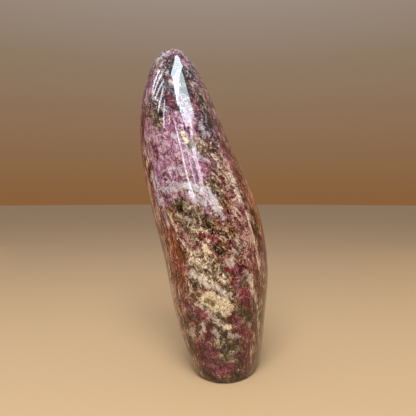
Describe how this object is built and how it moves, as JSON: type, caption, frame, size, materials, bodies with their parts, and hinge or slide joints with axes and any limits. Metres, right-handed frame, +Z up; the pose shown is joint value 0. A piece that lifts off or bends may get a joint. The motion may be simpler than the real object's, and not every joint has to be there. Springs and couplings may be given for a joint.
{
  "type": "rubellite tourmaline freeform",
  "caption": "Polished pink rubellite tourmaline freeform in mica and quartz matrix, a leaning rounded stone that stands on a small flat ground foot.",
  "frame": {"origin": "centre of the flat ground foot, on the surface that the stone stands on", "axes": "+Z up, from the foot towards the tip; -Y the front that the viewer sees; the tip leans towards -X"},
  "size_m": [0.0547, 0.0457, 0.1349],
  "materials": {
    "polished_rubellite": "polished"
  },
  "bodies": {
    "root": {"tourmaline_freeform": "polished_rubellite"}
  },
  "joints": []
}
